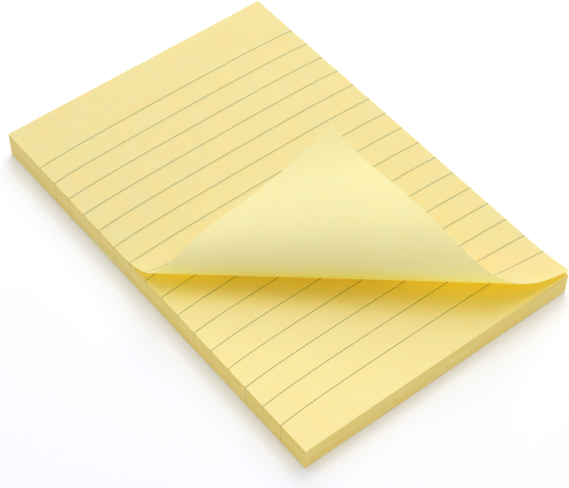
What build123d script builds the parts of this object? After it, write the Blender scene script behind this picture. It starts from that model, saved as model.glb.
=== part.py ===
"""A lined sticky note pad whose top note is curled back from one free corner.

X runs across the notes, Y up them towards the gummed header, Z up. The origin is the middle of the
pad's underside. All lengths are in millimetres and all angles in degrees.
"""

import os
from math import atan2, degrees, hypot, pi, sin

from build123d import *

# A note of the pad.
note_width = 101.6
note_length = 152.4
note_thickness = 0.1

# The pad, top note included. The gum between the notes makes the header the thicker end.
free_end_height = 8.7
header_height = 9.8
backing_thickness = 0.2

# Where the top note leaves the pad, measured up its left and right edges from the free end.
lift_left = 92.0
lift_right = 19.8

# Where its roll ends and its corner lies back, measured from that corner along the left edge and
# along the free end.
roll_left = 43.2
roll_foot = 25.1

# How far the roll turns the note over, how gently it starts and ends (0 to 1), and how fast its
# lines fan out along the free end (1 is evenly).
roll_angle = 179.5
roll_softness_ratio = 0.64
roll_fan_ratio = 0.775

# How far the corner bows back the other way.
corner_bow_angle = 30.4

# How many lines measure out the curled note: before its foot leaves the right edge for the free
# end, in the rest of the roll, and in the corner.
before_foot_count = 10
roll_count = 22
corner_count = 12

taper = degrees(atan2(header_height - free_end_height, note_length))
lift_foot = note_width * lift_left / (lift_left - lift_right)

# Where the top note lies: on the sloping upper face of the page block, with its free left corner
# as the zero of the flat note.
corner_place = Pos(-note_width / 2, -note_length / 2, free_end_height - note_thickness)
note_place = corner_place * Rot(X=taper)


def eased(share, softness):
    """A share of a turn that starts and ends gently."""
    return share - softness * sin(2 * pi * share) / (2 * pi)


def line_ends(step):
    """Where line `step` of the curl meets the left edge and the free end's line.

    The roll takes the steps from 0 to 1, and the corner beyond it those from 1 to 2.
    """
    if step > 1:
        return roll_left * (2 - step), roll_foot * (2 - step)
    left = lift_left + (roll_left - lift_left) * step
    foot = lift_foot + (roll_foot - lift_foot) * step**roll_fan_ratio
    return left, foot


def turned(step):
    """How far the note has turned over at line `step`."""
    if step > 1:
        return roll_angle - corner_bow_angle * eased(step - 1, 1)
    return roll_angle * eased(step, roll_softness_ratio)


def steps_between(first, last, count):
    """Evenly spaced steps from `first` to `last`, both included."""
    return [first + (last - first) * i / count for i in range(count + 1)]


def fold(step, next_step):
    """The fold, halfway between two lines, that turns the rest of the note over."""
    left, foot = line_ends((step + next_step) / 2)
    crease = Plane((0, left, 0), x_dir=(foot, -left, 0), z_dir=(0, 0, 1)).location
    return crease * Rot(X=turned(step) - turned(next_step)) * crease.inverse()


def section(step):
    """The note's thin section along line `step`, with the note still flat."""
    left, foot = line_ends(step)
    right_end = (foot, 0)
    if foot > note_width:
        right_end = (note_width, left * (1 - note_width / foot))
    across, down = right_end[0], right_end[1] - left
    upright = Plane((0, left, 0), x_dir=(across, down, 0), z_dir=(down, -across, 0))
    return upright * Rectangle(hypot(across, down), note_thickness, align=(Align.MIN, Align.MIN))


def page_block():
    """All the notes under the top one, as one wedge."""
    half = note_length / 2
    side = Polyline(
        (-half, backing_thickness),
        (half, backing_thickness),
        (half, header_height - note_thickness),
        (-half, free_end_height - note_thickness),
        close=True,
    )
    return extrude(Plane.YZ * make_face(side), note_width / 2, both=True)


def backing_sheet():
    """The sheet under the last note."""
    return Box(note_width, note_length, backing_thickness, align=(Align.CENTER, Align.CENTER, Align.MIN))


def flat_note():
    """The stretch of the top note that still lies on the pad."""
    outline = Polyline(
        (0, note_length),
        (note_width, note_length),
        (note_width, lift_right),
        (0, lift_left),
        close=True,
    )
    return note_place * extrude(make_face(outline), note_thickness)


def corner_tip(step):
    """The flat tip of the free corner, beyond line `step`."""
    left, foot = line_ends(step)
    return extrude(make_face(Polyline((0, 0), (foot, 0), (0, left), close=True)), note_thickness)


def top_note():
    """The top note: flat, then rolled over line by line to its free corner."""
    right_corner = ((lift_foot - note_width) / (lift_foot - roll_foot)) ** (1 / roll_fan_ratio)
    steps = steps_between(0, right_corner, before_foot_count)
    steps += steps_between(right_corner, 1, roll_count)[1:]
    steps += steps_between(1, 2, corner_count)[1:-1]
    place = note_place
    sections = [place * section(0)]
    for step, next_step in zip(steps, steps[1:]):
        place = place * fold(step, next_step)
        sections.append(place * section(next_step))
    before_foot = loft(sections[: before_foot_count + 1])
    after_foot = loft(sections[before_foot_count:])
    return flat_note() + before_foot + after_foot + place * corner_tip(steps[-1])


os.makedirs("parts", exist_ok=True)
export_step(page_block(), "parts/page_block.step")
export_step(backing_sheet(), "parts/backing_sheet.step")
export_step(top_note(), "parts/top_note.step")
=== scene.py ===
# %% [markdown]
# This lesson dresses a pad of lined sticky notes. The real one is a block of about a hundred yellow
# notes, each held to the next by a strip of weak gum along the header, on a backing sheet. Its top
# note has been lifted at one free corner and curled right over, so that its plain underside shows.
# The pad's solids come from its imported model, which stays as it is: every piece made here takes its
# place from them. Pieces are placed in metres, with X across the notes, Y up them towards the gummed
# header, and Z up. The paper's finishes count in millimetres instead.

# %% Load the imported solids
from math import degrees, radians

import bpy
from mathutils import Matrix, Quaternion, Vector
from mathutils.bvhtree import BVHTree


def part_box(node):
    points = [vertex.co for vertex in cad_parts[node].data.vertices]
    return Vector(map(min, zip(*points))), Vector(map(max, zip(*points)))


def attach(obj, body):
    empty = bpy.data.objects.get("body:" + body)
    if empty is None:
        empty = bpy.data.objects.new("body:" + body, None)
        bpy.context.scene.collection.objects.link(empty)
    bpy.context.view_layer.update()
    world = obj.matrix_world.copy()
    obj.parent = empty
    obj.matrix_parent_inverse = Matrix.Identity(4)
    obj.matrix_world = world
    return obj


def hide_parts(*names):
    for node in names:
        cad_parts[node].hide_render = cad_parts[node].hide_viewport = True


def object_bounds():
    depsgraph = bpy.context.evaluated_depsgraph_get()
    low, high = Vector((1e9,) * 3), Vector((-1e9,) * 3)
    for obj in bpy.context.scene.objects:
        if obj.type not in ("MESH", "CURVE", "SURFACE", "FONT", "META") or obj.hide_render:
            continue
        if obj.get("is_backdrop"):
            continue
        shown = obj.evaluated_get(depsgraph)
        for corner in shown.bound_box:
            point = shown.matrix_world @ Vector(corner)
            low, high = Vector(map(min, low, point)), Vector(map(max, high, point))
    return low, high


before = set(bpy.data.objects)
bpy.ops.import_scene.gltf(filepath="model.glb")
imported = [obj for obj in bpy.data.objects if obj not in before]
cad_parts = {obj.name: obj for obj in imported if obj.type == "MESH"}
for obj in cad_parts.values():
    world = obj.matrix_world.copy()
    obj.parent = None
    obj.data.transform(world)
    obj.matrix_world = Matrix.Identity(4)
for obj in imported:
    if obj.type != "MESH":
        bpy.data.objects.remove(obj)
solid_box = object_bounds()
print("solids:", sorted(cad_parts), "from", solid_box[0], "to", solid_box[1])

# %% [markdown]
# The sizes that the dressing needs are read from the solids where they can be. The block of notes is
# a wedge, because the gum makes the header end thicker, so its height is read at both ends.

# %% Read the pad's sizes
mm = 0.001

backing_low, backing_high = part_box("backing_sheet")
note_width = backing_high.x - backing_low.x
note_length = backing_high.y - backing_low.y
backing_top = backing_high.z

block_points = [v.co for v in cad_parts["page_block"].data.vertices]
header_top = max(p.z for p in block_points)
free_end_top = max(p.z for p in block_points if p.y < 0)
print(f"note {note_width / mm:.1f} x {note_length / mm:.1f} mm")
print(f"block {free_end_top / mm:.2f} mm high at the free end, {header_top / mm:.2f} mm at the header")

# %% [markdown]
# The camera comes first, so that every later step can be compared with the photograph. Its place and
# lens were worked out from the pad's corners and ruled lines: it is a short telephoto lens about half
# a metre away, looking down at about 50 degrees across the pad's free left corner. Aiming it at a
# point on the pad is easier to read and to change than three turning angles.

# %% Place the camera
camera_place = Vector((-214.3, -271.9, 408.5)) * mm
camera_target = Vector((-9.3, -14.4, 9.3)) * mm
camera_roll = radians(0.18)
lens_length = 107.45
sensor_width = 36.0

camera = bpy.data.objects.new("camera", bpy.data.cameras.new("camera"))
bpy.context.scene.collection.objects.link(camera)
camera.data.lens = lens_length
camera.data.sensor_width = sensor_width
camera.data.sensor_fit = "HORIZONTAL"
aim = (camera_target - camera_place).to_track_quat("-Z", "Y")
camera.location = camera_place
camera.rotation_euler = (aim @ Quaternion((0, 0, 1), camera_roll)).to_euler()
bpy.context.scene.camera = camera
print(f"camera {(camera_target - camera_place).length:.3f} m from the pad, {lens_length} mm lens")

# %% [markdown]
# Two helpers carry the rest of the lesson. Colours are picked as sRGB hex values, as a screen shows
# them, but a renderer adds light in linear values, so one function converts them. Shader trees and
# geometry trees are both made of nodes, so one function adds a node of either kind, with its settings
# and whatever feeds it. A socket is given by its name or by its number. A Mix node needs the numbers,
# because its sockets share their names: its share is 0, its colours are 6 and 7, and they leave at 2.

# %% Add nodes and colours
def hex_colour(text):
    """The linear colour of an sRGB hex value such as "#F3E6A3", by the standard's own curve."""
    levels = [int(text[i : i + 2], 16) / 255 for i in (1, 3, 5)]
    return (*(v / 12.92 if v <= 0.04045 else ((v + 0.055) / 1.055) ** 2.4 for v in levels), 1.0)


def add_node(tree, kind, inputs=None, **settings):
    """Adds a node with its settings. `inputs` gives each socket a value or the output that feeds it."""
    node = tree.nodes.new(kind)
    for name, value in settings.items():
        setattr(node, name, value)
    for socket, value in (inputs or {}).items():
        if isinstance(value, bpy.types.NodeSocket):
            tree.links.new(value, node.inputs[socket])
        else:
            node.inputs[socket].default_value = value
    return node


MATH = "ShaderNodeMath"
print("paper yellow in linear values:", [round(v, 3) for v in hex_colour("#F3E6A3")])

# %% [markdown]
# The ruling is sixteen thin green lines printed across each note, a wide blank above them and a
# narrower one below. It could be cut from thin strips, but ink has no thickness to see, so it belongs
# in the paper's finish. The lines are worked out from their real spacing as a mask: how far a point
# is from its nearest line. They dip a little towards both edges, as on the real sheet. A node group
# holds the sum once, because the curled note and the block under it read it from different places.

# %% Draw the ruling
line_count = 16
line_pitch = 8.177
first_line_down = 18.675
line_width = 0.17
line_blur = 0.03
line_bow = 1.14
line_bow_reach = 11.8

width_mm, length_mm = note_width / mm, note_length / mm
first_line_up = length_mm - first_line_down
last_line_up = first_line_up - line_pitch * (line_count - 1) + line_bow

ruling = bpy.data.node_groups.new("ruling", "ShaderNodeTree")
ruling.interface.new_socket("Across mm", in_out="INPUT", socket_type="NodeSocketFloat")
ruling.interface.new_socket("Up mm", in_out="INPUT", socket_type="NodeSocketFloat")
ruling.interface.new_socket("Ink", in_out="OUTPUT", socket_type="NodeSocketFloat")
given = add_node(ruling, "NodeGroupInput")

edge_terms = []
for share, shift in ((-1 / line_bow_reach, 0.0), (1 / line_bow_reach, -width_mm / line_bow_reach)):
    falling = add_node(ruling, MATH, {0: given.outputs[0], 1: share, 2: shift}, operation="MULTIPLY_ADD")
    fallen = add_node(ruling, MATH, {0: falling.outputs[0]}, operation="EXPONENT")
    edge_terms.append(add_node(ruling, MATH, {0: 1.0, 1: fallen.outputs[0]}, operation="SUBTRACT"))
bow = add_node(
    ruling, MATH, {0: edge_terms[0].outputs[0], 1: edge_terms[1].outputs[0]}, operation="MULTIPLY"
)
top_line = add_node(
    ruling, MATH, {0: bow.outputs[0], 1: line_bow, 2: first_line_up}, operation="MULTIPLY_ADD"
)
below = add_node(ruling, MATH, {0: top_line.outputs[0], 1: given.outputs[1]}, operation="SUBTRACT")
in_lines = add_node(ruling, MATH, {0: below.outputs[0], 1: line_pitch}, operation="DIVIDE")
rounded = add_node(ruling, MATH, {0: in_lines.outputs[0]}, operation="ROUND")
nearest = add_node(ruling, "ShaderNodeClamp", {0: rounded.outputs[0], 1: 0.0, 2: line_count - 1.0})
offset = add_node(ruling, MATH, {0: in_lines.outputs[0], 1: nearest.outputs[0]}, operation="SUBTRACT")
away = add_node(ruling, MATH, {0: offset.outputs[0]}, operation="ABSOLUTE")
ink = add_node(
    ruling,
    "ShaderNodeMapRange",
    {
        "Value": away.outputs[0],
        "From Min": (line_width / 2 + line_blur) / line_pitch,
        "From Max": (line_width / 2 - line_blur) / line_pitch,
    },
    interpolation_type="SMOOTHSTEP",
)
add_node(ruling, "NodeGroupOutput", {0: ink.outputs[0]})
print(f"{line_count} lines, the last {last_line_up:.1f} mm above the free end")

# %% [markdown]
# The notes are uncoated wood-free paper, dyed yellow in the pulp. To the eye that is a matt surface
# with hardly any sheen, a very faint cloudiness where fibres lie thicker, and a fine tooth. The cloud
# is a slow noise between two near yellows, and the tooth is a bump. Real tooth is about 0.05 mm wide,
# too fine to show here, so it is drawn at 0.3 mm. In the finishes, places are in millimetres from the
# note's free left corner.

# %% Start a paper finish
cloud_size = 7.0
cloud_detail, cloud_roughness = 3.0, 0.6
cloud_thin, cloud_thick = 0.38, 0.62
tooth_size = 0.3
tooth_detail = 2.0
tooth_depth = 0.012
paper_roughness = 0.9
paper_sheen = 0.2


def start_material(name):
    """An empty material and its tree."""
    material = bpy.data.materials.new(name)
    material.use_nodes = True
    material.node_tree.nodes.clear()
    return material, material.node_tree


def add_pulp(tree, place_mm, yellows):
    """The faintly cloudy colour of dyed pulp, between two `yellows`."""
    noise = {"Scale": 1 / cloud_size, "Detail": cloud_detail, "Roughness": cloud_roughness}
    cloud = add_node(tree, "ShaderNodeTexNoise", {"Vector": place_mm, **noise})
    share = add_node(tree, "ShaderNodeMapRange", {0: cloud.outputs[0], 1: cloud_thin, 2: cloud_thick})
    thin, thick = (hex_colour(yellow) for yellow in yellows)
    inputs = {0: share.outputs[0], 6: thin, 7: thick}
    return add_node(tree, "ShaderNodeMix", inputs, data_type="RGBA").outputs[2]


def add_tooth(tree, place_mm):
    """The fine bump of an uncoated sheet."""
    inputs = {"Vector": place_mm, "Scale": 1 / tooth_size, "Detail": tooth_detail}
    grain = add_node(tree, "ShaderNodeTexNoise", inputs)
    inputs = {"Height": grain.outputs[0], "Distance": tooth_depth * mm, "Strength": 1.0}
    return add_node(tree, "ShaderNodeBump", inputs).outputs[0]


def finish_paper(tree, colour, bump, light_through=None):
    """Paper that scatters light, and lets `light_through`, a share and a colour, pass to its far side."""
    surface = {"Roughness": paper_roughness, "Specular IOR Level": paper_sheen, "Normal": bump}
    shader = add_node(tree, "ShaderNodeBsdfPrincipled", {"Base Color": colour, **surface}).outputs[0]
    if light_through:
        share, filtered = light_through
        glow = add_node(tree, "ShaderNodeBsdfTranslucent", {"Color": filtered})
        inputs = {0: share, 1: shader, 2: glow.outputs[0]}
        shader = add_node(tree, "ShaderNodeMixShader", inputs).outputs[0]
    add_node(tree, "ShaderNodeOutputMaterial", {"Surface": shader})


print(f"pulp clouds {cloud_size} mm wide, tooth {tooth_size} mm wide and {tooth_depth} mm deep")

# %% [markdown]
# Under the curl the yellow is painted a deep gold: painted shade. Light is thrown from paper to
# paper there, and each meeting with the dye takes out more of its blue, but the renderer's bounces
# alone leave the fold paler, so an Ambient Occlusion node, which finds how shut in a place is,
# mixes the colour towards a deeper gold by that much. Only the fold gets this painted shade: a mask
# lets it grow from the lift line, where the note leaves the block, towards the free corner. On the
# block it is in full nearer to that line, where the gap is narrowest. The same kind of mask, set at
# the curl's crest, is used on the ink below.

# %% Paint shade into the fold
lift_left, lift_right = 92.0, 19.8
lift_foot = width_mm * lift_left / (lift_left - lift_right)
lift_line = (lift_left, lift_foot)
shade_none, block_shade_full, sheet_shade_full = 0.98, 0.85, 0.7
fold_open, fold_deep = 0.85, 0.35
fold_reach = 14.0
fold_samples = 8
# Painted shade: the deep gold painted on the block's face under the curl.
PAINTED_SHADE_BLOCK = "#FFE556"


def share_of_way(tree, place_mm, line, none, full):
    """0 to 1, as a place goes from `none` to `full` of the way from the free corner to a line.

    The line is given by where it meets the left edge and the free end's line.
    """
    left, foot = line
    inputs = {0: place_mm, 1: (1 / foot, 1 / left, 0)}
    way = add_node(tree, "ShaderNodeVectorMath", inputs, operation="DOT_PRODUCT").outputs["Value"]
    return add_node(tree, "ShaderNodeMapRange", {0: way, 1: none, 2: full}).outputs[0]


# Painted shade: the fold's shadow is mixed into the paper's own colour.
def paint_fold_shade(tree, colour, place_mm, deep, reach, shade_full):
    """The paper's colour, which turns to `deep` where other paper within `reach` mm shuts it in.

    It does so in full up to `shade_full` of the way to the lift line, and not at all from `shade_none`.
    """
    inputs = {"Distance": reach * mm}
    openness = add_node(tree, "ShaderNodeAmbientOcclusion", inputs, samples=fold_samples)
    shut_in = add_node(
        tree, "ShaderNodeMapRange", {0: openness.outputs["AO"], 1: fold_open, 2: fold_deep}
    )
    lifted = share_of_way(tree, place_mm, lift_line, shade_none, shade_full)
    depth = add_node(tree, MATH, {0: shut_in.outputs[0], 1: lifted}, operation="MULTIPLY")
    inputs = {0: depth.outputs[0], 6: colour, 7: hex_colour(deep)}
    return add_node(tree, "ShaderNodeMix", inputs, data_type="RGBA").outputs[2]


print(f"the fold starts {lift_left} mm up the left edge and {lift_right} mm up the right one")

# %% [markdown]
# The ruling is thin green offset ink, which soaks into uncoated paper and has no sheen of its own. So
# it only changes the paper's colour, wherever the mask drawn above says. How much of it there is at a
# place can be a value or another mask, because on the curl some of it has to be left out.

# %% Print the ruling on the paper
INK_GREEN = "#1A641C"


def add_ink(tree, paper, place_mm, coverage=1.0):
    """The paper's colour with the ruling printed on it, `coverage` of it at each place."""
    apart = add_node(tree, "ShaderNodeSeparateXYZ", {0: place_mm})
    inputs = {"Across mm": apart.outputs[0], "Up mm": apart.outputs[1]}
    lines = add_node(tree, "ShaderNodeGroup", inputs, node_tree=ruling)
    covered = add_node(tree, MATH, {0: lines.outputs[0], 1: coverage}, operation="MULTIPLY")
    inputs = {0: covered.outputs[0], 6: paper, 7: hex_colour(INK_GREEN)}
    return add_node(tree, "ShaderNodeMix", inputs, data_type="RGBA").outputs[2]


print(f"lines of ink {line_width} mm wide, with edges {line_blur} mm soft to each side")

# %% [markdown]
# A single note glows a little: about half of the light that reaches it goes through. Its finish mixes
# a shader that scatters light back with one that passes it on, in equal shares, and so its yellows
# are written paler than the note looks, because the eye gets their light after the dye has filtered
# it more than once. The ruling is printed on the face alone. Where the note lies flat, its ink also
# filters what comes back up from the block below. Seen through the curl it would show on the plain
# underside, where the real paper hides it, so that part of the ink ends at the curl's crest. For the
# same reason the face's own ink is left off its inner side, which only light inside the sheet meets.
# The underside hangs over the block, and its painted shade is a paler gold that reaches further: out
# of the gap and up the lowest band of the curl, which is painted deeper there as shade.

# %% Finish the curled note's two faces
ink_through = 0.45
crest_line = (67.6, 68.5)
crest_blend = 0.05
curl_shade_reach = 40.0
share_through = 0.5
LIGHT_THROUGH = "#FFFAA2"
SHEET_FACE = ("#F5EEC7", "#F1F0D2")
SHEET_UNDERSIDE = ("#FDFEE4", "#FCFFEA")
# Painted shade: the colour of the note's face deep in the fold.
PAINTED_SHADE_SHEET = "#FDFAAE"
# Painted shade: the underside's deeper yellow in the gap and on the curl's lowest band.
PAINTED_SHADE_CURL = "#FFF57C"


def start_sheet(name):
    """An empty finish for the curled note, and the places on its UV map, so that it follows the curl."""
    material, tree = start_material(name)
    uv = add_node(tree, "ShaderNodeUVMap", uv_map="flat note")
    inputs = {"Vector": uv.outputs[0], "Scale": (width_mm, length_mm, 1.0)}
    return material, tree, add_node(tree, "ShaderNodeMapping", inputs).outputs[0]


ruled_face, tree, place = start_sheet("yellow note paper, ruled face")
pulp = add_pulp(tree, place, SHEET_FACE)
face = paint_fold_shade(tree, pulp, place, PAINTED_SHADE_SHEET, fold_reach, sheet_shade_full)
on_header_side = share_of_way(tree, place, crest_line, 1 - crest_blend, 1 + crest_blend)
coverage = add_node(tree, MATH, {0: on_header_side, 1: ink_through}, operation="MULTIPLY").outputs[0]
filtered = add_ink(tree, hex_colour(LIGHT_THROUGH), place, coverage)
inner_side = add_node(tree, "ShaderNodeNewGeometry").outputs["Backfacing"]
outer_side = add_node(tree, MATH, {0: 1.0, 1: inner_side}, operation="SUBTRACT").outputs[0]
printed = add_ink(tree, face, place, outer_side)
finish_paper(tree, printed, add_tooth(tree, place), (share_through, filtered))

plain_underside, tree, place = start_sheet("yellow note paper, underside")
pulp = add_pulp(tree, place, SHEET_UNDERSIDE)
underside = paint_fold_shade(tree, pulp, place, PAINTED_SHADE_CURL, curl_shade_reach, sheet_shade_full)
finish_paper(tree, underside, add_tooth(tree, place), (share_through, hex_colour(LIGHT_THROUGH)))
print("finishes:", ruled_face.name, "and", plain_underside.name)

# %% [markdown]
# The curled note is one flat sheet, bent without stretching. Such a surface is made of straight
# lines, and between two of them the sheet only turns. It could be swept or sculpted, but then the
# ruling would stretch. Here it is folded instead: a flat grid is turned a fraction of a degree about
# each of several hundred creases. The creases are taken from the free corner inwards, so that each
# one still lies in the flat sheet when its turn comes. Along the left edge and the free end the
# creases start at the lift line and gather towards the corner. The roll turns the note half round,
# and the corner then bows back by 30 degrees and stands out over the pad.
#
# Three helpers serve every such tree. The first starts it, with a named input for each size. The
# second turns what an object's modifiers make into a plain mesh, and the third makes an object of a
# finished tree with it.

# %% Grow a piece from a geometry tree
def start_tree(name, sizes):
    """A geometry tree with a named input for each of `sizes`, and the node that gives them."""
    tree = bpy.data.node_groups.new(name, "GeometryNodeTree")
    kinds = {int: "NodeSocketInt", float: "NodeSocketFloat", bpy.types.Material: "NodeSocketMaterial"}
    for label, value in sizes.items():
        tree.interface.new_socket(label, in_out="INPUT", socket_type=kinds[type(value)])
    tree.interface.new_socket("Mesh", in_out="OUTPUT", socket_type="NodeSocketGeometry")
    return tree, add_node(tree, "NodeGroupInput").outputs


def settle(piece):
    """Turns what a piece's modifiers make into its plain mesh, and removes them."""
    evaluated = piece.evaluated_get(bpy.context.evaluated_depsgraph_get())
    piece_mesh = bpy.data.meshes.new_from_object(evaluated)
    piece.modifiers.clear()
    piece.data = piece_mesh
    return piece


def grow(name, tree, sizes):
    """A plain mesh made by a geometry tree, whose inputs are set by their sockets' identifiers."""
    piece = bpy.data.objects.new(name, bpy.data.meshes.new(name))
    bpy.context.scene.collection.objects.link(piece)
    modifier = piece.modifiers.new("nodes", "NODES")
    modifier.node_group = tree
    for item in tree.interface.items_tree:
        if item.in_out == "INPUT":
            modifier[item.identifier] = sizes[item.name]
    return settle(piece)


print("a geometry tree takes its sizes by name, and a modifier by each socket's identifier")

# %% [markdown]
# The curl's sizes are distances from the free left corner, along the left edge or the free end, and
# angles. Its softness says how gently the roll starts and ends, and its fan how the creases spread.
# They are the values that put the curl's outline where the photograph has it, and the solid note is
# folded by the same ones. The sheet's grid is 0.8 mm wide, fine enough for the tightest part of the
# roll.

# %% Size the curled note
grid_step = 0.8 * mm
fold_count = 480
roll_left, roll_foot = 43.2 * mm, 25.1 * mm
roll_angle, roll_softness, roll_fan = radians(179.5), 0.64, 0.775
corner_bow_angle = radians(30.4)

note_sizes = {
    "Note width": note_width,
    "Note length": note_length,
    "Points across": int(note_width / grid_step) + 1,
    "Points up": int(note_length / grid_step) + 1,
    "Lift left": lift_left * mm,
    "Lift foot": lift_foot * mm,
    "Roll left": roll_left,
    "Roll foot": roll_foot,
    "Roll angle": roll_angle,
    "Roll softness": roll_softness,
    "Roll fan": roll_fan,
    "Corner bow": corner_bow_angle,
    "Folds": fold_count,
    "Block height": free_end_top,
    "Taper": (header_top - free_end_top) / note_length,
    "Paper": ruled_face,
}
tree, size = start_tree("curled note", note_sizes)
print(f"the note lifts {lift_left} mm up the left edge, and its roll ends {roll_left / mm:.1f} mm up it")

# %% [markdown]
# The sheet starts flat, with its free left corner as zero, so that the creases can be placed along
# two of its edges. Two things are stored on it before it bends: a UV map for the finish, and each
# point's flat place, by which a crease knows which points lie beyond it.

# %% Lay out the flat note
flat = add_node(
    tree,
    "GeometryNodeMeshGrid",
    {
        "Size X": size["Note width"],
        "Size Y": size["Note length"],
        "Vertices X": size["Points across"],
        "Vertices Y": size["Points up"],
    },
)
half_width = add_node(tree, MATH, {0: size["Note width"], 1: 0.5}, operation="MULTIPLY").outputs[0]
half_length = add_node(tree, MATH, {0: size["Note length"], 1: 0.5}, operation="MULTIPLY").outputs[0]
to_corner = add_node(tree, "ShaderNodeCombineXYZ", {0: half_width, 1: half_length})
from_corner = add_node(
    tree, "GeometryNodeTransform", {"Geometry": flat.outputs[0], "Translation": to_corner.outputs[0]}
)
mapped = add_node(
    tree,
    "GeometryNodeStoreNamedAttribute",
    {"Geometry": from_corner.outputs[0], "Name": "flat note", "Value": flat.outputs[1]},
    data_type="FLOAT2",
    domain="CORNER",
)
place_now = add_node(tree, "GeometryNodeInputPosition").outputs[0]
remembered = add_node(
    tree,
    "GeometryNodeStoreNamedAttribute",
    {"Geometry": mapped.outputs[0], "Name": "flat place", "Value": place_now},
    data_type="FLOAT_VECTOR",
    domain="POINT",
)
print(f"flat grid of {note_sizes['Points across']} x {note_sizes['Points up']} points")

# %% [markdown]
# A repeat zone makes one crease after another. Each has a step, from 2 at the free corner, past 1
# where the roll ends, down to 0 at the lift line. From the step come the two points where the crease
# meets the left edge and the free end's line.

# %% Place each crease
repeat_start = add_node(tree, "GeometryNodeRepeatInput")
repeat_end = add_node(tree, "GeometryNodeRepeatOutput")
repeat_start.pair_with_output(repeat_end)
tree.links.new(size["Folds"], repeat_start.inputs["Iterations"])
tree.links.new(remembered.outputs[0], repeat_start.inputs["Geometry"])

step_size = add_node(tree, MATH, {0: 2.0, 1: size["Folds"]}, operation="DIVIDE").outputs[0]
folds_done = add_node(tree, MATH, {0: repeat_start.outputs["Iteration"], 1: 0.5}, operation="ADD")
steps_done = add_node(tree, MATH, {0: folds_done.outputs[0], 1: step_size}, operation="MULTIPLY")
step = add_node(tree, MATH, {0: 2.0, 1: steps_done.outputs[0]}, operation="SUBTRACT").outputs[0]
in_roll = add_node(tree, MATH, {0: step, 1: 1.0}, operation="MINIMUM").outputs[0]
past_roll = add_node(tree, MATH, {0: step, 1: in_roll}, operation="SUBTRACT").outputs[0]
left_of_corner = add_node(tree, MATH, {0: 1.0, 1: past_roll}, operation="SUBTRACT").outputs[0]

fanned = add_node(tree, MATH, {0: in_roll, 1: size["Roll fan"]}, operation="POWER").outputs[0]
ends = {}
for label, start, end, share in (
    ("left", "Lift left", "Roll left", in_roll),
    ("foot", "Lift foot", "Roll foot", fanned),
):
    across = add_node(
        tree,
        "ShaderNodeMapRange",
        {"Value": share, "To Min": size[start], "To Max": size[end]},
        clamp=False,
    )
    ends[label] = add_node(
        tree, MATH, {0: across.outputs[0], 1: left_of_corner}, operation="MULTIPLY"
    ).outputs[0]
print(f"{fold_count} creases, {2 / fold_count:.4f} of a step apart")

# %% [markdown]
# The step also gives the angle that a crease turns. The turn starts and ends gently, by a cosine wave
# over the roll, so that the note leaves the block without a kink. In the corner it goes back the
# other way. A crease runs from the left edge to the free end, and about that line it takes a negative
# angle to lift the corner, so the sign is changed last.

# %% Choose each crease's turn
turns = []
for share, softness, whole in (
    (in_roll, size["Roll softness"], size["Roll angle"]),
    (past_roll, 1.0, size["Corner bow"]),
):
    phase = add_node(tree, MATH, {0: share, 1: radians(360)}, operation="MULTIPLY")
    wave = add_node(tree, MATH, {0: phase.outputs[0]}, operation="COSINE")
    held = add_node(tree, MATH, {0: wave.outputs[0], 1: softness}, operation="MULTIPLY")
    rate = add_node(tree, MATH, {0: 1.0, 1: held.outputs[0]}, operation="SUBTRACT")
    turns.append(add_node(tree, MATH, {0: rate.outputs[0], 1: whole}, operation="MULTIPLY").outputs[0])
is_corner = add_node(tree, MATH, {0: step, 1: 1.0}, operation="GREATER_THAN").outputs[0]
back = add_node(tree, MATH, {0: turns[1], 1: -1.0}, operation="MULTIPLY").outputs[0]
turn_rate = add_node(tree, "ShaderNodeMix", {0: is_corner, 2: turns[0], 3: back}, data_type="FLOAT")
turn = add_node(tree, MATH, {0: turn_rate.outputs[0], 1: step_size}, operation="MULTIPLY").outputs[0]
upward = add_node(tree, MATH, {0: turn, 1: -1.0}, operation="MULTIPLY").outputs[0]
print(f"a crease in the roll turns {degrees(roll_angle) / (fold_count / 2):.2f} degrees on average")

# %% [markdown]
# A crease turns only what lies beyond it, towards the free corner. A point of the flat sheet is
# beyond it when its shares of the way to the crease, across and up, add up to less than 1. The points
# it picks are turned about the line between the crease's two ends.

# %% Turn the note at the crease
flat_place = add_node(
    tree, "GeometryNodeInputNamedAttribute", {"Name": "flat place"}, data_type="FLOAT_VECTOR"
)
apart = add_node(tree, "ShaderNodeSeparateXYZ", {0: flat_place.outputs[0]})
share_across = add_node(tree, MATH, {0: apart.outputs[0], 1: ends["foot"]}, operation="DIVIDE").outputs[0]
share_up = add_node(tree, MATH, {0: apart.outputs[1], 1: ends["left"]}, operation="DIVIDE").outputs[0]
shares = add_node(tree, MATH, {0: share_across, 1: share_up}, operation="ADD").outputs[0]
beyond = add_node(
    tree, "FunctionNodeCompare", {0: shares, 1: 1.0}, data_type="FLOAT", operation="LESS_THAN"
)

crease_start = add_node(tree, "ShaderNodeCombineXYZ", {1: ends["left"]})
downward = add_node(tree, MATH, {0: ends["left"], 1: -1.0}, operation="MULTIPLY").outputs[0]
crease_way = add_node(tree, "ShaderNodeCombineXYZ", {0: ends["foot"], 1: downward})
turned_place = add_node(
    tree,
    "ShaderNodeVectorRotate",
    {
        "Vector": place_now,
        "Center": crease_start.outputs[0],
        "Axis": crease_way.outputs[0],
        "Angle": upward,
    },
    rotation_type="AXIS_ANGLE",
)
folded = add_node(
    tree,
    "GeometryNodeSetPosition",
    {
        "Geometry": repeat_start.outputs["Geometry"],
        "Selection": beyond.outputs[0],
        "Position": turned_place.outputs[0],
    },
)
tree.links.new(folded.outputs[0], repeat_end.inputs["Geometry"])
print("each crease turns the points beyond it")

# %% [markdown]
# The folded sheet is then set on the block's sloping top. Its underside lies on the block, and the
# thickness comes later. What only the folding needed is removed, and the tree ends with the finish of
# the ruled face.

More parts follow.
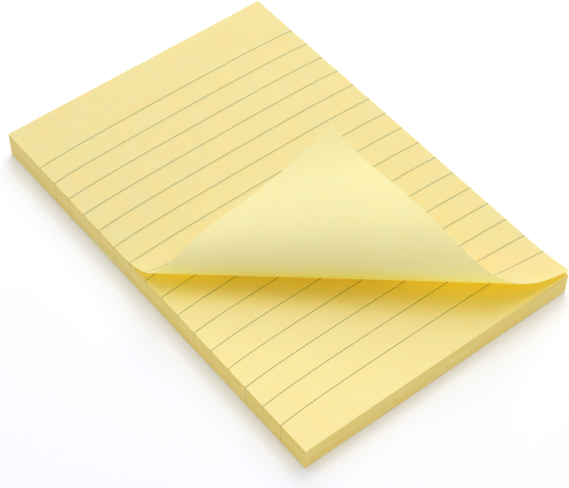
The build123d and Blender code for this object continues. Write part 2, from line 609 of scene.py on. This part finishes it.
# %% Set the folded note on the block
to_left = add_node(tree, MATH, {0: half_width, 1: -1.0}, operation="MULTIPLY").outputs[0]
to_free_end = add_node(tree, MATH, {0: half_length, 1: -1.0}, operation="MULTIPLY").outputs[0]
block_corner = add_node(
    tree, "ShaderNodeCombineXYZ", {0: to_left, 1: to_free_end, 2: size["Block height"]}
)
slope = add_node(tree, MATH, {0: size["Taper"]}, operation="ARCTANGENT")
leaning = add_node(tree, "ShaderNodeCombineXYZ", {0: slope.outputs[0]})
on_block = add_node(
    tree,
    "GeometryNodeTransform",
    {
        "Geometry": repeat_end.outputs["Geometry"],
        "Translation": block_corner.outputs[0],
        "Rotation": leaning.outputs[0],
    },
)
forgotten = add_node(
    tree, "GeometryNodeRemoveAttribute", {"Geometry": on_block.outputs[0], "Name": "flat place"}
)
realized = add_node(tree, "GeometryNodeRealizeInstances", {0: forgotten.outputs[0]})
papered = add_node(
    tree, "GeometryNodeSetMaterial", {"Geometry": realized.outputs[0], "Material": size["Paper"]}
)
add_node(tree, "NodeGroupOutput", {0: papered.outputs[0]})

curled_note = grow("curled_note", tree, note_sizes)
print(f"curled note: {len(curled_note.data.polygons)} faces from {fold_count} creases")

# %% [markdown]
# So far the note is a surface with no thickness. A Solidify modifier gives it the 0.1 mm of real
# paper, and puts the plain underside's finish on the far skin. The cut edges, where two faces meet at
# more than 40 degrees, are kept sharp, and everything else is shaded smooth.

# %% Give the note its thickness
note_thickness = 0.1 * mm
sharp_angle = radians(40)

curled_note.data.materials.append(plain_underside)
skin = curled_note.modifiers.new("thickness", "SOLIDIFY")
skin.thickness = note_thickness
skin.offset = 1.0
skin.use_rim = True
skin.material_offset = 1
skin.material_offset_rim = 0
settle(curled_note)
curled_note.data.shade_smooth()
curled_note.data.set_sharp_from_angle(angle=sharp_angle)
curled_note.data.uv_layers["flat note"].active_render = True
print(f"curled note: {len(curled_note.data.polygons)} faces with its thickness")

# %% [markdown]
# The finished note is held against the solid one. The two follow the same rule, so they should lie
# within a tenth of a millimetre of each other. The part of it that stays flat should show its ruled
# face upwards. Then it takes the solid's place, on the same body.

# %% Hold the note against its solid
flat_from = 30 * mm
nearly_upwards = 0.9

solid_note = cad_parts["top_note"]
solid_tree = BVHTree.FromPolygons(
    [v.co for v in solid_note.data.vertices], [p.vertices for p in solid_note.data.polygons]
)
gaps = [solid_tree.find_nearest(v.co)[3] for v in curled_note.data.vertices]
mean_gap = sum(gaps) / len(gaps)
print(f"the curled note lies within {max(gaps) / mm:.3f} mm of the solid, {mean_gap / mm:.4f} on average")
upper_skin = {
    curled_note.data.materials[p.material_index].name
    for p in curled_note.data.polygons
    if p.center.y > flat_from and p.normal.z > nearly_upwards
}
print("finish of the upper skin:", upper_skin)

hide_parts("top_note")
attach(curled_note, "root")

# %% [markdown]
# The upper face of the block takes the same pulp, painted fold shade and ruling as the curled note.
# It hides what is below it, so no light passes through, and its yellows are written as they look. It
# reads its places from Object coordinates, because the block isn't bent.

# %% Finish the block's face
FACE_YELLOW = ("#F9E69F", "#F7E8A3")


def object_place_mm(tree):
    """Where a point is, in millimetres from the pad's free left corner at desk height."""
    inputs = {
        "Vector": add_node(tree, "ShaderNodeTexCoord").outputs["Object"],
        "Location": (width_mm / 2, length_mm / 2, 0.0),
        "Scale": (1 / mm, 1 / mm, 1 / mm),
    }
    return add_node(tree, "ShaderNodeMapping", inputs).outputs[0]


ruled_block, tree = start_material("yellow note paper, ruled face of the block")
place = object_place_mm(tree)
pulp = add_pulp(tree, place, FACE_YELLOW)
# Painted shade: the block's face turns deep gold where the curl shuts it in.
face = paint_fold_shade(tree, pulp, place, PAINTED_SHADE_BLOCK, fold_reach, block_shade_full)
finish_paper(tree, add_ink(tree, face, place), add_tooth(tree, place))
print("finish:", ruled_block.name)

# %% [markdown]
# The sides of the pad are the notes' guillotined edges: matt paper again, a little deeper in colour,
# with fine streaks along the layers. Some are more orange and some paler: painted shade and light
# where a note stands a hair back or proud. The yellows are also written brighter than cut paper is,
# as painted light for the glow that comes out through the edges from inside the stack. The streaks
# are a noise that is stretched along the notes and squeezed across them. One note is 0.1 mm thick,
# too fine to show here, so a streak is drawn 0.45 mm high.

# %% Finish the cut edges
layer_streak = 0.45
streak_length = 22.0
streak_detail = 4.0
streak_dark, streak_light = 0.36, 0.62
# Painted light: both edge yellows are brighter, for glow out of the stack.
EDGE_YELLOW_AND_GLOW = ("#FFE386", "#FFF4A6")

cut_edges, tree = start_material("guillotined edges of yellow note paper")
place = object_place_mm(tree)
along_layers = add_node(
    tree,
    "ShaderNodeMapping",
    {"Vector": place, "Scale": (1 / streak_length, 1 / streak_length, 1 / layer_streak)},
)
inputs = {"Vector": along_layers.outputs[0], "Scale": 1.0, "Detail": streak_detail}
# The streaks' paler and deeper bands are painted light and shade.
streaks = add_node(tree, "ShaderNodeTexNoise", inputs)
share = add_node(tree, "ShaderNodeMapRange", {0: streaks.outputs[0], 1: streak_dark, 2: streak_light})
dark, light = (hex_colour(yellow) for yellow in EDGE_YELLOW_AND_GLOW)
inputs = {0: share.outputs[0], 6: dark, 7: light}
edge_colour = add_node(tree, "ShaderNodeMix", inputs, data_type="RGBA").outputs[2]
finish_paper(tree, edge_colour, add_tooth(tree, place))
print("finish:", cut_edges.name)

# %% [markdown]
# Under the top note lie about a hundred more. They could be one block with lines drawn on its sides,
# but a real stack is never quite true: the guillotine and the gum leave each note a few hundredths of
# a millimetre out of line, and that is what makes the cut sides look like paper. So each note is a
# thin slab of its own. The slabs are cut a hair smaller than the solid block, so that a nudged one
# stays within a few hundredths of a millimetre of it, and the stack's top doesn't touch the curled
# note's underside.

# %% Size the stack
note_count = 96
untidiness = 0.035 * mm
skew = radians(0.02)
nudge_seed = 7
slab_fill = 0.97
air_gap = 0.03 * mm

stack_sizes = {
    "Notes": note_count,
    "Note width": note_width - 2 * untidiness,
    "Note length": note_length - 2 * untidiness,
    "Whole length": note_length,
    "Backing top": backing_top,
    "Free end top": free_end_top - air_gap,
    "Header top": header_top - air_gap,
    "Untidiness": untidiness,
    "Skew": skew,
    "Slab fill": slab_fill,
    "Seed": nudge_seed,
    "Faces": ruled_block,
    "Edges": cut_edges,
}
tree, size = start_tree("stack of notes", stack_sizes)
print(f"{note_count} notes, each up to {untidiness / mm} mm out of line")

# %% [markdown]
# Geometry Nodes make the slabs as instances on an upright line of points, one unit apart. The line
# starts half a unit up, so that each slab lies within its own unit. Each point is nudged, and each
# slab turned, by a seeded random amount, so that the stack is the same in every run.

# %% Stack the notes
one_note = add_node(
    tree, "ShaderNodeCombineXYZ", {0: size["Note width"], 1: size["Note length"], 2: size["Slab fill"]}
)
slab = add_node(tree, "GeometryNodeMeshCube", {"Size": one_note.outputs[0]})
levels = add_node(
    tree,
    "GeometryNodeMeshLine",
    {"Count": size["Notes"], "Start Location": (0.0, 0.0, 0.5), "Offset": (0.0, 0.0, 1.0)},
)
nudge_back = add_node(tree, MATH, {0: size["Untidiness"], 1: -1.0}, operation="MULTIPLY").outputs[0]
nudge_low = add_node(tree, "ShaderNodeCombineXYZ", {0: nudge_back, 1: nudge_back})
nudge_high = add_node(tree, "ShaderNodeCombineXYZ", {0: size["Untidiness"], 1: size["Untidiness"]})
nudge = add_node(
    tree,
    "FunctionNodeRandomValue",
    {0: nudge_low.outputs[0], 1: nudge_high.outputs[0], "Seed": size["Seed"]},
    data_type="FLOAT_VECTOR",
)
nudged = add_node(
    tree, "GeometryNodeSetPosition", {"Geometry": levels.outputs[0], "Offset": nudge.outputs[0]}
)
skew_back = add_node(tree, MATH, {0: size["Skew"], 1: -1.0}, operation="MULTIPLY").outputs[0]
skew_low = add_node(tree, "ShaderNodeCombineXYZ", {2: skew_back})
skew_high = add_node(tree, "ShaderNodeCombineXYZ", {2: size["Skew"]})
turn = add_node(
    tree,
    "FunctionNodeRandomValue",
    {0: skew_low.outputs[0], 1: skew_high.outputs[0], "Seed": size["Seed"]},
    data_type="FLOAT_VECTOR",
)
stacked = add_node(
    tree,
    "GeometryNodeInstanceOnPoints",
    {"Points": nudged.outputs[0], "Instance": slab.outputs[0], "Rotation": turn.outputs[0]},
)
realized = add_node(tree, "GeometryNodeRealizeInstances", {0: stacked.outputs[0]})
print(f"each slab fills {slab_fill:.0%} of its unit, and the rest is the gap to the next")

# %% [markdown]
# The slabs stand one unit apart, and the space for them is a wedge, thicker at the header. So each
# point's level becomes its share of the wedge's height at that place along the note.

# %% Squeeze the stack into its wedge
position = add_node(tree, "GeometryNodeInputPosition").outputs[0]
apart = add_node(tree, "ShaderNodeSeparateXYZ", {0: position})
level_share = add_node(tree, MATH, {0: apart.outputs[2], 1: size["Notes"]}, operation="DIVIDE")
up_share = add_node(tree, MATH, {0: apart.outputs[1], 1: size["Whole length"]}, operation="DIVIDE")
from_free_end = add_node(tree, MATH, {0: up_share.outputs[0], 1: 0.5}, operation="ADD").outputs[0]
wedge_top = add_node(
    tree,
    "ShaderNodeMapRange",
    {"Value": from_free_end, "To Min": size["Free end top"], "To Max": size["Header top"]},
    clamp=False,
)
height = add_node(
    tree,
    "ShaderNodeMapRange",
    {
        "Value": level_share.outputs[0],
        "To Min": size["Backing top"],
        "To Max": wedge_top.outputs[0],
    },
    clamp=False,
)
squeezed_place = add_node(
    tree, "ShaderNodeCombineXYZ", {0: apart.outputs[0], 1: apart.outputs[1], 2: height.outputs[0]}
)
squeezed = add_node(
    tree,
    "GeometryNodeSetPosition",
    {"Geometry": realized.outputs[0], "Position": squeezed_place.outputs[0]},
)
print(f"wedge from {(free_end_top - air_gap) / mm:.2f} to {(header_top - air_gap) / mm:.2f} mm high")

# %% [markdown]
# Last, the flat faces get the ruled paper and the thin sides the cut edges. The two are told apart by
# how far up or down they face. The finished stack then takes the solid block's place.

# %% Give the stack its finishes
facing_share = 0.5

normal = add_node(tree, "GeometryNodeInputNormal").outputs[0]
facing = add_node(tree, "ShaderNodeSeparateXYZ", {0: normal})
facing_up = add_node(tree, MATH, {0: facing.outputs[2]}, operation="ABSOLUTE").outputs[0]
is_face = add_node(tree, "FunctionNodeCompare", {0: facing_up, 1: facing_share}, data_type="FLOAT")
edged = add_node(
    tree, "GeometryNodeSetMaterial", {"Geometry": squeezed.outputs[0], "Material": size["Edges"]}
)
faced = add_node(
    tree,
    "GeometryNodeSetMaterial",
    {"Geometry": edged.outputs[0], "Selection": is_face.outputs[0], "Material": size["Faces"]},
)
add_node(tree, "NodeGroupOutput", {0: faced.outputs[0]})

page_stack = grow("page_stack", tree, stack_sizes)
print(f"stack: {note_count} notes, {len(page_stack.data.polygons)} faces")
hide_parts("page_block")
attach(page_stack, "root")

# %% [markdown]
# The backing sheet is a slightly paler, plainer paper that covers the last note's gum. Its solid has
# the right shape already, so it only takes a finish.

# %% Finish the backing sheet
BACKING = ("#FFF8DC", "#FFFAE4")
backing_paper, tree = start_material("pale backing paper")
place = object_place_mm(tree)
finish_paper(tree, add_pulp(tree, place, BACKING), add_tooth(tree, place))
backing_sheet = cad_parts["backing_sheet"]
backing_sheet.data.materials.clear()
backing_sheet.data.materials.append(backing_paper)
print("backing sheet finished in", backing_paper.name)

# %% [markdown]
# The photograph is a studio shot on a white ground. What the camera sees directly is pushed to white
# by the Light Path node, in the floor and the sky alone. The ground is then white without any more
# light on the paper. A ray that has scattered through the thin note counts as a transmission ray as
# well as a diffuse one, so diffuse rays are taken out.

# %% Find what the camera sees directly
white_strength = 1.0


def seen_directly(tree):
    """1 where the camera sees a surface straight, in a reflection or through something clear."""
    path = add_node(tree, "ShaderNodeLightPath").outputs
    either = add_node(
        tree, MATH, {0: path["Is Camera Ray"], 1: path["Is Glossy Ray"]}, operation="MAXIMUM"
    ).outputs[0]
    clear = add_node(
        tree, MATH, {0: either, 1: path["Is Transmission Ray"]}, operation="MAXIMUM"
    ).outputs[0]
    return add_node(
        tree, MATH, {0: clear, 1: path["Is Diffuse Ray"]}, operation="SUBTRACT", use_clamp=True
    ).outputs[0]


print(f"seen directly, a strength of {white_strength} is white")

# %% [markdown]
# Near the pad the floor is a matt white that catches the shadow, with a very little light of its own
# for the camera. Further away it fades into the same white as the sky, so that no horizon shows.

# %% Lay the white floor
floor_size = 4.0
floor_drop = 0.02 * mm
FLOOR_WHITE = "#F7F8FD"
floor_lift = 0.03
fade_start, fade_end = 0.15, 0.7

floor_finish, tree = start_material("white studio floor")
ground = add_node(tree, "ShaderNodeBsdfDiffuse", {"Color": hex_colour(FLOOR_WHITE)})
direct = seen_directly(tree)
lift = add_node(tree, MATH, {0: direct, 1: floor_lift}, operation="MULTIPLY")
glow = add_node(tree, "ShaderNodeEmission", {"Strength": lift.outputs[0]})
near = add_node(tree, "ShaderNodeAddShader", {0: ground.outputs[0], 1: glow.outputs[0]})
position = add_node(tree, "ShaderNodeTexCoord").outputs["Object"]
from_pad = add_node(tree, "ShaderNodeVectorMath", {0: position}, operation="LENGTH").outputs["Value"]
away = add_node(tree, "ShaderNodeMapRange", {0: from_pad, 1: fade_start, 2: fade_end})
faded = add_node(tree, MATH, {0: away.outputs[0], 1: direct}, operation="MULTIPLY")
white = add_node(tree, "ShaderNodeEmission", {"Strength": white_strength})
whole = add_node(
    tree, "ShaderNodeMixShader", {0: faded.outputs[0], 1: near.outputs[0], 2: white.outputs[0]}
)
add_node(tree, "ShaderNodeOutputMaterial", {"Surface": whole.outputs[0]})

floor_mesh = bpy.data.meshes.new("floor")
reach = floor_size / 2
corners = ((-reach, -reach), (reach, -reach), (reach, reach), (-reach, reach))
floor_mesh.from_pydata([(x, y, -floor_drop) for x, y in corners], [], [(0, 1, 2, 3)])
floor_mesh.materials.append(floor_finish)
floor = bpy.data.objects.new("floor", floor_mesh)
bpy.context.scene.collection.objects.link(floor)
floor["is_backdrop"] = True
print(f"floor {floor_size} m wide, {floor_drop / mm} mm under the pad")

# %% [markdown]
# An even, slightly cool sky gives nearly half of the light. It fills the folds and keeps the shadows
# soft, as the white walls of a studio tent do.

# %% Light the studio sky
SKY_WHITE = "#F8FAFF"
SEEN_WHITE = "#FFFFFF"
sky_strength = 0.55

world = bpy.data.worlds.new("studio sky")
world.use_nodes = True
world.node_tree.nodes.clear()
direct = seen_directly(world.node_tree)
inputs = {"Value": direct, "To Min": sky_strength, "To Max": white_strength}
brightness = add_node(world.node_tree, "ShaderNodeMapRange", inputs)
inputs = {0: direct, 6: hex_colour(SKY_WHITE), 7: hex_colour(SEEN_WHITE)}
hue = add_node(world.node_tree, "ShaderNodeMix", inputs, data_type="RGBA").outputs[2]
sky = add_node(
    world.node_tree, "ShaderNodeBackground", {"Color": hue, "Strength": brightness.outputs[0]}
)
add_node(world.node_tree, "ShaderNodeOutputWorld", {"Surface": sky.outputs[0]})
bpy.context.scene.world = world
print(f"sky strength {sky_strength}")

# %% [markdown]
# Two square soft boxes give the rest. The key lamp hangs high up, a little behind and to the right,
# and draws the curl's shadow on the note below it. The back lamp is lower and further round, and
# spreads the pad's own shadow over the floor towards the viewer. With the sky they add up to the
# level at which a colour renders about as it is written.

# %% Hang the lamps
for name, width, lamp_place, power in (
    ("key lamp", 0.7, (0.16, 0.08, 1.0), 4.4),
    ("back lamp", 0.9, (0.68, 0.52, 0.75), 4.4),
):
    lamp = bpy.data.objects.new(name, bpy.data.lights.new(name, "AREA"))
    lamp.data.shape = "SQUARE"
    lamp.data.size = width
    lamp.data.energy = power
    lamp.location = lamp_place
    bpy.context.scene.collection.objects.link(lamp)
    print(f"{name}: {width} m wide, {Vector(lamp_place).length:.2f} m away, {power} W")

# %% [markdown]
# In the fold a ray goes from one bright sheet to the other many times, so the bounce limits are
# raised well above the usual ones. The Standard view then shows each colour as it was worked out.

# %% Let the light bounce
bounces_in_all = 32
bounces_off_paper = 24
bounces_through_paper = 24

cycles = bpy.context.scene.cycles
cycles.max_bounces = bounces_in_all
cycles.diffuse_bounces = bounces_off_paper
cycles.transmission_bounces = bounces_through_paper
bpy.context.scene.view_settings.view_transform = "Standard"
print(f"up to {bounces_in_all} bounces in all")

# %% [markdown]
# Last, the dressed pad is measured against its solids: it has to fill the same box. The largest
# difference between the two boxes is printed.

# %% Measure and finish
dressed_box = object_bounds()
growth = max(abs(a - b) for i in (0, 1) for a, b in zip(solid_box[i], dressed_box[i]))
print(f"the dressed box differs from the solids' by at most {growth / mm:.3f} mm")
